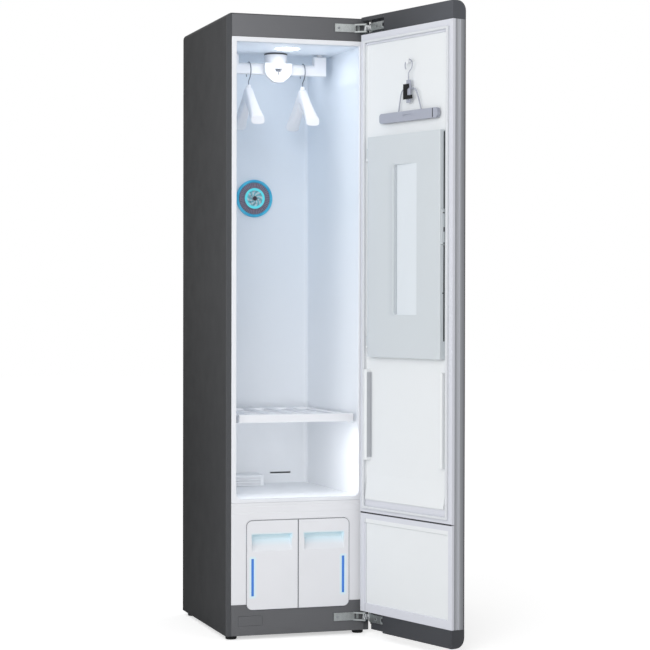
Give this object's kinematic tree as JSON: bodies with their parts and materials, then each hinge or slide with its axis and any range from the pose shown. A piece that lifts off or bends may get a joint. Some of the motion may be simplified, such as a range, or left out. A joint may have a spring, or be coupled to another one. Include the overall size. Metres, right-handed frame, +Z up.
{
  "type": "clothes care steam cabinet",
  "caption": "Tall free-standing cabinet that steams hung clothes, with a moving hanger bar, shelf, water tanks and a side-hinged door that holds a trouser press.",
  "frame": {"origin": "middle of the bounding box with the door open as in the picture, at floor level", "axes": "+X to the right seen from the front, +Y from the front to the back, +Z up"},
  "size_m": [0.5824, 0.9738, 1.85],
  "materials": {
    "grey_steel": "satin",
    "grey_trim": "satin",
    "dark_moulding": "satin",
    "black_moulding": "matte",
    "black_steel": "satin",
    "white_moulding": "satin",
    "pale_press": "matte",
    "clear_tank": "clear",
    "blue_lens": "gloss",
    "lamp_lens": "frosted",
    "chrome": "polished",
    "zinc_sheet": "zinc",
    "fins": "bare",
    "rubber": "matte",
    "seal": "matte",
    "glass": "dark mirror glass",
    "grey_bar": "satin"
  },
  "bodies": {
    "cabinet": {"side_panel_left": "grey_steel", "side_panel_right": "grey_steel", "top_cover": "grey_steel", "back_panel": "zinc_sheet", "base_pan": "zinc_sheet", "drive_motor": "zinc_sheet", "steam_generator": "zinc_sheet", "blower_motor": "zinc_sheet", "rear_foot_left": "rubber", "rear_foot_right": "rubber", "front_header": "dark_moulding", "kick_panel": "dark_moulding", "service_cover": "dark_moulding", "lower_front_panel": "white_moulding", "front_trim": "white_moulding", "inner_liner": "white_moulding", "intake_grille": "white_moulding", "ceiling_lamp": "lamp_lens", "outlet_grille": "black_moulding", "tank_housing": "black_moulding", "compressor": "black_steel", "outlet_light_ring": "blue_lens", "heat_exchanger": "fins", "hinge_bracket_top": "chrome", "hinge_bracket_bottom": "chrome"},
    "hinge_links": {"hinge_link_top": "chrome", "hinge_link_bottom": "chrome"},
    "door": {"door_hinge_plate_top": "chrome", "door_hinge_plate_bottom": "chrome", "door_top_cap": "dark_moulding", "door_bottom_cap": "dark_moulding", "door_skin": "grey_trim", "front_glass": "glass", "door_liner_upper": "white_moulding", "door_liner_lower": "white_moulding", "door_gasket": "seal", "press_pad": "seal"},
    "front_foot_left": {"front_foot_left": "rubber"},
    "front_foot_right": {"front_foot_right": "rubber"},
    "supply_tank": {"supply_tank": "clear_tank", "supply_tank_front": "white_moulding", "supply_level_window": "blue_lens"},
    "drain_tank": {"drain_tank": "clear_tank", "drain_tank_front": "white_moulding", "drain_level_window": "blue_lens"},
    "shelf": {"shelf": "white_moulding"},
    "hanger_bar": {"hanger_bar": "white_moulding", "bar_hub": "white_moulding", "bar_centre_cover": "white_moulding"},
    "drive_crank": {"drive_crank": "zinc_sheet"},
    "blower_fan": {"blower_fan": "black_moulding"},
    "garment_hanger_left": {"hanger_hook_left": "black_moulding", "garment_hanger_left": "white_moulding"},
    "garment_hanger_right": {"hanger_hook_right": "black_moulding", "garment_hanger_right": "white_moulding"},
    "press_panel": {"press_panel": "pale_press"},
    "press_latch": {"press_latch": "pale_press"},
    "clip_hanger": {"clip_hanger": "grey_bar"},
    "clip_jaw": {"clip_jaw": "grey_bar"},
    "clip_lock": {"clip_lock": "black_moulding"}
  },
  "joints": [
    {"name": "hinge_link_turn", "type": "hinge", "parent": "cabinet", "child": "hinge_links", "pos_m": [0.13529, -0.06008, 0], "axis": [0, 0, 1], "range_deg": [-53.4, 6.6]},
    {"name": "door_swing", "type": "hinge", "parent": "hinge_links", "child": "door", "pos_m": [0.15195, -0.0712, 0], "axis": [0, 0, 1], "range_deg": [-53.4, 6.6]},
    {"name": "front_foot_left_turn", "type": "hinge", "parent": "cabinet", "child": "front_foot_left", "pos_m": [-0.26671, -0.01108, 0], "axis": [0, 0, 1], "continuous": true},
    {"name": "front_foot_right_turn", "type": "hinge", "parent": "cabinet", "child": "front_foot_right", "pos_m": [0.12929, -0.01108, 0], "axis": [0, 0, 1], "continuous": true},
    {"name": "supply_tank_pull", "type": "slide", "parent": "cabinet", "child": "supply_tank", "axis": [0, -1, 0], "range_m": [0, 0.3]},
    {"name": "drain_tank_pull", "type": "slide", "parent": "cabinet", "child": "drain_tank", "axis": [0, -1, 0], "range_m": [0, 0.3]},
    {"name": "shelf_pull", "type": "slide", "parent": "cabinet", "child": "shelf", "axis": [0, -1, 0], "range_m": [0, 0.25]},
    {"name": "hanger_bar_shake", "type": "slide", "parent": "cabinet", "child": "hanger_bar", "axis": [1, 0, 0], "range_m": [-0.012, 0.012]},
    {"name": "drive_crank_turn", "type": "hinge", "parent": "cabinet", "child": "drive_crank", "pos_m": [-0.06871, 0.19942, 0], "axis": [0, 0, 1], "range_deg": [-56, 56]},
    {"name": "blower_fan_spin", "type": "hinge", "parent": "cabinet", "child": "blower_fan", "pos_m": [-0.14871, 0.41692, 0], "axis": [0, 0, 1], "continuous": true},
    {"name": "garment_hanger_left_swing", "type": "hinge", "parent": "hanger_bar", "child": "garment_hanger_left", "pos_m": [-0.15571, 0.19942, 1.7356], "axis": [1, 0, 0], "range_deg": [-10, 10]},
    {"name": "garment_hanger_right_swing", "type": "hinge", "parent": "hanger_bar", "child": "garment_hanger_right", "pos_m": [0.01829, 0.19942, 1.7356], "axis": [1, 0, 0], "range_deg": [-10, 10]},
    {"name": "press_panel_swing", "type": "hinge", "parent": "door", "child": "press_panel", "pos_m": [0.12973, -0.10141, 0], "axis": [0, 0, -1], "range_deg": [0, 90]},
    {"name": "press_latch_push", "type": "slide", "parent": "press_panel", "child": "press_latch", "axis": [-0.289, 0.9573, 0], "range_m": [0, 0.003], "stiffness_N_per_m": 300, "springref_m": -0.004},
    {"name": "clip_hanger_swing", "type": "hinge", "parent": "door", "child": "clip_hanger", "pos_m": [0.18286, -0.3016, 1.7], "axis": [-0.9573, -0.289, 0], "range_deg": [-6, 6]},
    {"name": "clip_jaw_open", "type": "hinge", "parent": "clip_hanger", "child": "clip_jaw", "pos_m": [0.18544, -0.30082, 1.5527], "axis": [-0.289, 0.9573, 0], "range_deg": [0, 15], "stiffness_Nm_per_rad": 0.3, "springref_deg": -17.19},
    {"name": "clip_lock_slide", "type": "slide", "parent": "clip_hanger", "child": "clip_lock", "axis": [0, 0, -1], "range_m": [0, 0.007]}
  ],
  "couplings": [
    {"joint": "hinge_link_turn", "follows": "door_swing", "ratio": 1},
    {"joint": "drive_crank_turn", "follows": "hanger_bar_shake", "rad_per_m": 80}
  ]
}
